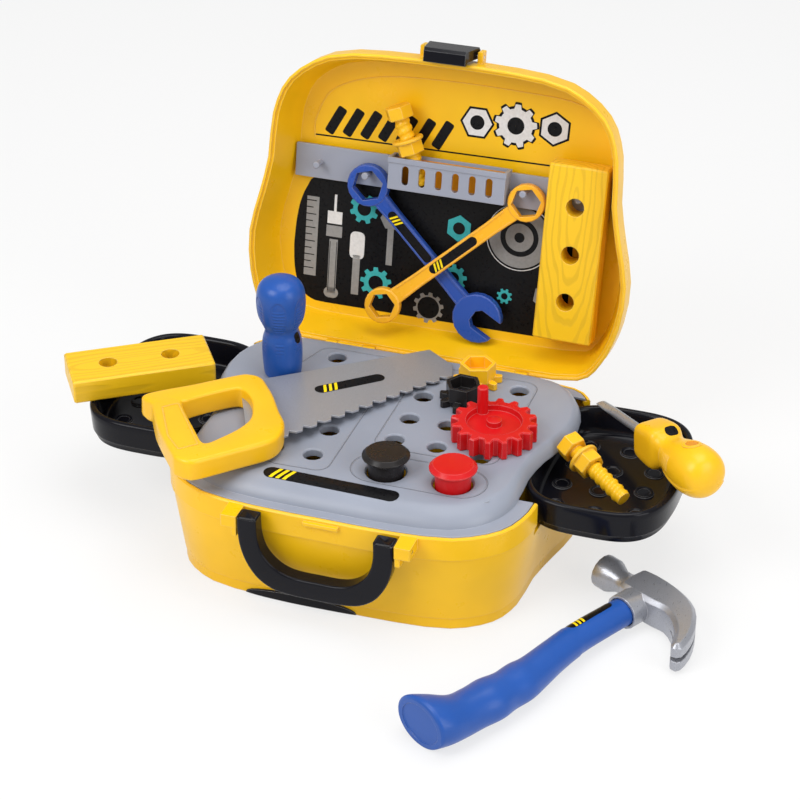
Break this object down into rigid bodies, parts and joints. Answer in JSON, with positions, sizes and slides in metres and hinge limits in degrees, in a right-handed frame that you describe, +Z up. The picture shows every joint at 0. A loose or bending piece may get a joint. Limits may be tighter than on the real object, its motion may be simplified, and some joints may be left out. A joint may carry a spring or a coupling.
{
  "type": "toy tool box",
  "caption": "Open toy tool box: a bench with holes, gears and push buttons, slide-in side trays, a tool rack in the lid, a carry handle and loose play tools.",
  "frame": {"origin": "centre of the case's flat underside", "axes": "+X right, +Y towards the hinge at the rear, +Z up"},
  "size_m": [0.5064, 0.4343, 0.3193],
  "materials": {
    "yellow_plastic": "satin moulded",
    "grey_plastic": "satin moulded",
    "rack_plastic": "satin moulded",
    "black_plastic": "high gloss",
    "red_plastic": "gloss",
    "blue_plastic": "gloss",
    "silver_plastic": "silver-filled",
    "steel": "plain"
  },
  "bodies": {
    "case": {"case_base": "yellow_plastic", "bench_plate": "grey_plastic", "tray_deck": "yellow_plastic", "front_foot": "black_plastic", "bench_screw_1": "steel", "bench_screw_2": "steel", "bench_screw_3": "steel", "bench_screw_4": "steel", "hinge_pin_left": "steel", "hinge_pin_right": "steel", "handle_pin_left": "steel", "handle_pin_right": "steel", "rocker_pin": "steel"},
    "lid": {"lid_shell": "yellow_plastic", "tool_rack": "rack_plastic", "latch_pin": "steel"},
    "latch": {"latch": "black_plastic"},
    "handle": {"carry_handle": "black_plastic"},
    "tray_left": {"tray_left": "black_plastic"},
    "tray_right": {"tray_right": "black_plastic"},
    "button_black": {"button_black": "black_plastic"},
    "button_red": {"button_red": "red_plastic"},
    "rocker": {"rocker": "rack_plastic"},
    "gear_red": {"gear_red": "red_plastic"},
    "gear_black": {"gear_black": "black_plastic"},
    "gear_yellow": {"gear_yellow": "yellow_plastic"},
    "hammer": {"hammer_handle": "blue_plastic", "hammer_head": "silver_plastic"},
    "saw": {"saw_blade": "silver_plastic", "saw_handle": "yellow_plastic"},
    "blue_driver": {"blue_driver_handle": "blue_plastic", "blue_driver_shaft": "steel"},
    "yellow_driver": {"yellow_driver_handle": "yellow_plastic", "yellow_driver_shaft": "steel"},
    "blue_spanner": {"blue_spanner": "blue_plastic"},
    "yellow_spanner": {"yellow_spanner": "yellow_plastic"},
    "long_plank": {"long_plank": "yellow_plastic"},
    "short_plank": {"short_plank": "yellow_plastic"},
    "tray_bolt": {"tray_bolt": "yellow_plastic"},
    "tray_bolt_nut": {"tray_bolt_nut": "yellow_plastic"},
    "rack_bolt": {"rack_bolt": "yellow_plastic"},
    "rack_bolt_nut": {"rack_bolt_nut": "yellow_plastic"}
  },
  "joints": [
    {"name": "lid_hinge", "type": "hinge", "parent": "case", "child": "lid", "pos_m": [0, 0.1153, 0.0817], "axis": [-1, 0, 0], "range_deg": [-60, 0]},
    {"name": "latch_hinge", "type": "hinge", "parent": "lid", "child": "latch", "pos_m": [0, 0.17661, 0.30885], "axis": [-1, 0, 0], "range_deg": [0, 90]},
    {"name": "handle_hinge", "type": "hinge", "parent": "case", "child": "handle", "pos_m": [0, -0.124, 0.0765], "axis": [-1, 0, 0], "range_deg": [0, 165]},
    {"name": "tray_left_slide", "type": "slide", "parent": "case", "child": "tray_left", "axis": [1, 0, 0], "range_m": [0, 0.019]},
    {"name": "tray_right_slide", "type": "slide", "parent": "case", "child": "tray_right", "axis": [-1, 0, 0], "range_m": [0, 0.003]},
    {"name": "button_black_slide", "type": "slide", "parent": "case", "child": "button_black", "axis": [0, 0, 1], "range_m": [-0.004, 0.004]},
    {"name": "button_red_slide", "type": "slide", "parent": "case", "child": "button_red", "axis": [0, 0, 1], "range_m": [-0.004, 0.004]},
    {"name": "rocker_hinge", "type": "hinge", "parent": "case", "child": "rocker", "pos_m": [0.0525, -0.059, 0.0705], "axis": [0, 1, 0], "range_deg": [-9.5, 9.5]},
    {"name": "gear_red_turn", "type": "hinge", "parent": "case", "child": "gear_red", "pos_m": [0.0865, 0.0075, 0.0941], "axis": [0, 0, 1], "continuous": true},
    {"name": "gear_black_turn", "type": "hinge", "parent": "case", "child": "gear_black", "pos_m": [0.0516, 0.0462, 0.0941], "axis": [0, 0, 1], "continuous": true},
    {"name": "gear_yellow_turn", "type": "hinge", "parent": "case", "child": "gear_yellow", "pos_m": [0.0532, 0.0772, 0.0941], "axis": [0, 0, 1], "continuous": true},
    {"name": "hammer_lift", "type": "slide", "parent": "case", "child": "hammer", "axis": [0, 0, 1], "range_m": [0, 0.025]},
    {"name": "saw_lift", "type": "slide", "parent": "case", "child": "saw", "axis": [0, 0, 1], "range_m": [0, 0.06]},
    {"name": "blue_driver_lift", "type": "slide", "parent": "case", "child": "blue_driver", "axis": [0, 0, 1], "range_m": [0, 0.08]},
    {"name": "yellow_driver_lift", "type": "slide", "parent": "case", "child": "yellow_driver", "axis": [0, 0, 1], "range_m": [0, 0.05]},
    {"name": "blue_spanner_swing", "type": "hinge", "parent": "lid", "child": "blue_spanner", "pos_m": [-0.0645, 0.16812, 0.20446], "axis": [0, -0.9801, 0.1985], "range_deg": [0, 6]},
    {"name": "yellow_spanner_lift", "type": "slide", "parent": "lid", "child": "yellow_spanner", "axis": [0, -0.9555, 0.295], "range_m": [0, 0.02]},
    {"name": "long_plank_lift", "type": "slide", "parent": "lid", "child": "long_plank", "axis": [0, -0.9801, 0.1985], "range_m": [0, 0.025]},
    {"name": "rack_bolt_lift", "type": "slide", "parent": "lid", "child": "rack_bolt", "axis": [-0.3576, 0.1441, 0.9227], "range_m": [0, 0.02]},
    {"name": "rack_nut_turn", "type": "hinge", "parent": "rack_bolt", "child": "rack_bolt_nut", "pos_m": [-0.03481, 0.1718, 0.24015], "axis": [-0.3576, 0.1441, 0.9227], "continuous": true},
    {"name": "short_plank_lift", "type": "slide", "parent": "case", "child": "short_plank", "axis": [0, 0, 1], "range_m": [0, 0.05]},
    {"name": "tray_bolt_lift", "type": "slide", "parent": "case", "child": "tray_bolt", "axis": [0, 0, 1], "range_m": [0, 0.05]},
    {"name": "tray_nut_turn", "type": "hinge", "parent": "tray_bolt", "child": "tray_bolt_nut", "pos_m": [0.15273, 0.01232, 0.08501], "axis": [0.8065, -0.5238, -0.2744], "continuous": true}
  ],
  "couplings": [
    {"joint": "button_red_slide", "follows": "button_black_slide", "ratio": -1},
    {"joint": "rocker_hinge", "follows": "button_black_slide", "rad_per_m": 40.816},
    {"joint": "gear_yellow_turn", "follows": "gear_black_turn", "ratio": -1}
  ]
}
